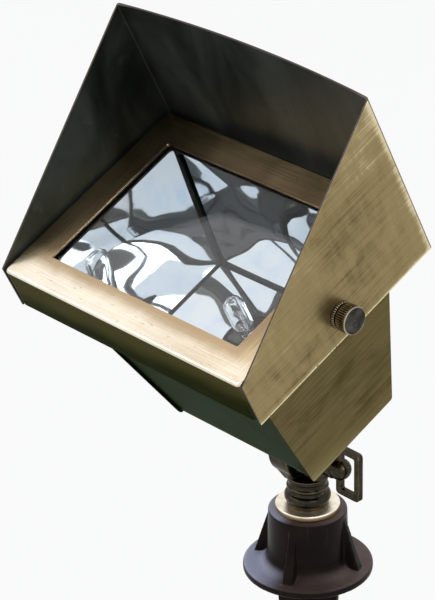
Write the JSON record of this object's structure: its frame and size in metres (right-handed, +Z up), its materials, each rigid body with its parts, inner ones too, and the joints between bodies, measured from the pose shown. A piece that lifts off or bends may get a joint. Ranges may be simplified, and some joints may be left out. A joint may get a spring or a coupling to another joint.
{
  "type": "flood light",
  "caption": "Low-voltage garden flood light: a tapered brass box with a glare hood, on a tilting knuckle and a ground stake.",
  "frame": {"origin": "on the stem's axis at the ground line, in the plane of the flange's underside", "axes": "+Z up along the stem, -Y the way the light faces, +X across it, towards the clamp handle"},
  "size_m": [0.216, 0.1753, 0.5273],
  "materials": {
    "stake_plastic": "satin, moulded, dark purplish brown",
    "polished_brass": "polished",
    "dark_bronze": "dark bronze patina, satin",
    "antique_brass": "brushed, antique patina",
    "steel": "zinc plated",
    "black_rubber": "matte",
    "lens_glass": "clear, tempered",
    "quartz": "clear quartz",
    "reflector_aluminium": "bright anodised, mirror",
    "ceramic": "glazed ceramic",
    "lead_cover": "braided sleeve",
    "nylon": "satin"
  },
  "bodies": {
    "stake": {"ground_stake": "stake_plastic"},
    "locknut": {"stem_locknut": "polished_brass"},
    "stem": {"knuckle_lower": "dark_bronze", "clamp_nut": "steel", "friction_washer": "black_rubber"},
    "clamp": {"clamp_bolt": "steel", "clamp_handle": "dark_bronze"},
    "head": {"knuckle_upper": "dark_bronze", "clamp_washer": "steel", "pad_seal": "black_rubber", "pipe_nut": "steel", "stiffener_plate": "steel", "housing_wrap": "antique_brass", "side_plate_right": "antique_brass", "side_plate_left": "antique_brass", "front_rim": "antique_brass", "door_frame": "antique_brass", "door_screws": "steel", "lens_gasket": "black_rubber", "lens_glass": "lens_glass", "reflector": "reflector_aluminium", "lamp_capsule": "quartz", "lamp_filament": "steel", "lamp_pins": "steel", "lamp_holder": "ceramic", "holder_bracket": "steel", "holder_screws": "steel", "bracket_screws": "steel", "lamp_leads": "lead_cover", "wire_grommet": "black_rubber", "hood_spacers": "nylon", "weld_nuts": "steel"},
    "hood": {"glare_hood": "antique_brass"},
    "thumb_right": {"thumb_screw_right": "dark_bronze"},
    "thumb_left": {"thumb_screw_left": "dark_bronze"}
  },
  "joints": [
    {"name": "stem_swivel", "type": "hinge", "parent": "stake", "child": "stem", "pos_m": [0, 0, 0], "axis": [0, 0, 1], "range_deg": [-170, 170]},
    {"name": "locknut_turn", "type": "hinge", "parent": "stem", "child": "locknut", "pos_m": [0, 0, 0], "axis": [0, 0, 1], "range_deg": [0, 180]},
    {"name": "head_tilt", "type": "hinge", "parent": "stem", "child": "head", "pos_m": [0, 0, 0.0754], "axis": [1, 0, 0], "range_deg": [-76, 64]},
    {"name": "clamp_turn", "type": "hinge", "parent": "stem", "child": "clamp", "pos_m": [0, 0, 0.0754], "axis": [1, 0, 0], "range_deg": [0, 360]},
    {"name": "hood_tilt", "type": "hinge", "parent": "head", "child": "hood", "pos_m": [0, -0.06833, 0.2212], "axis": [1, 0, 0], "range_deg": [-30, 45]},
    {"name": "thumb_right_turn", "type": "hinge", "parent": "head", "child": "thumb_right", "pos_m": [0, -0.06833, 0.2212], "axis": [1, 0, 0], "range_deg": [0, 360]},
    {"name": "thumb_left_turn", "type": "hinge", "parent": "head", "child": "thumb_left", "pos_m": [0, -0.06833, 0.2212], "axis": [-1, 0, 0], "range_deg": [0, 360]}
  ]
}
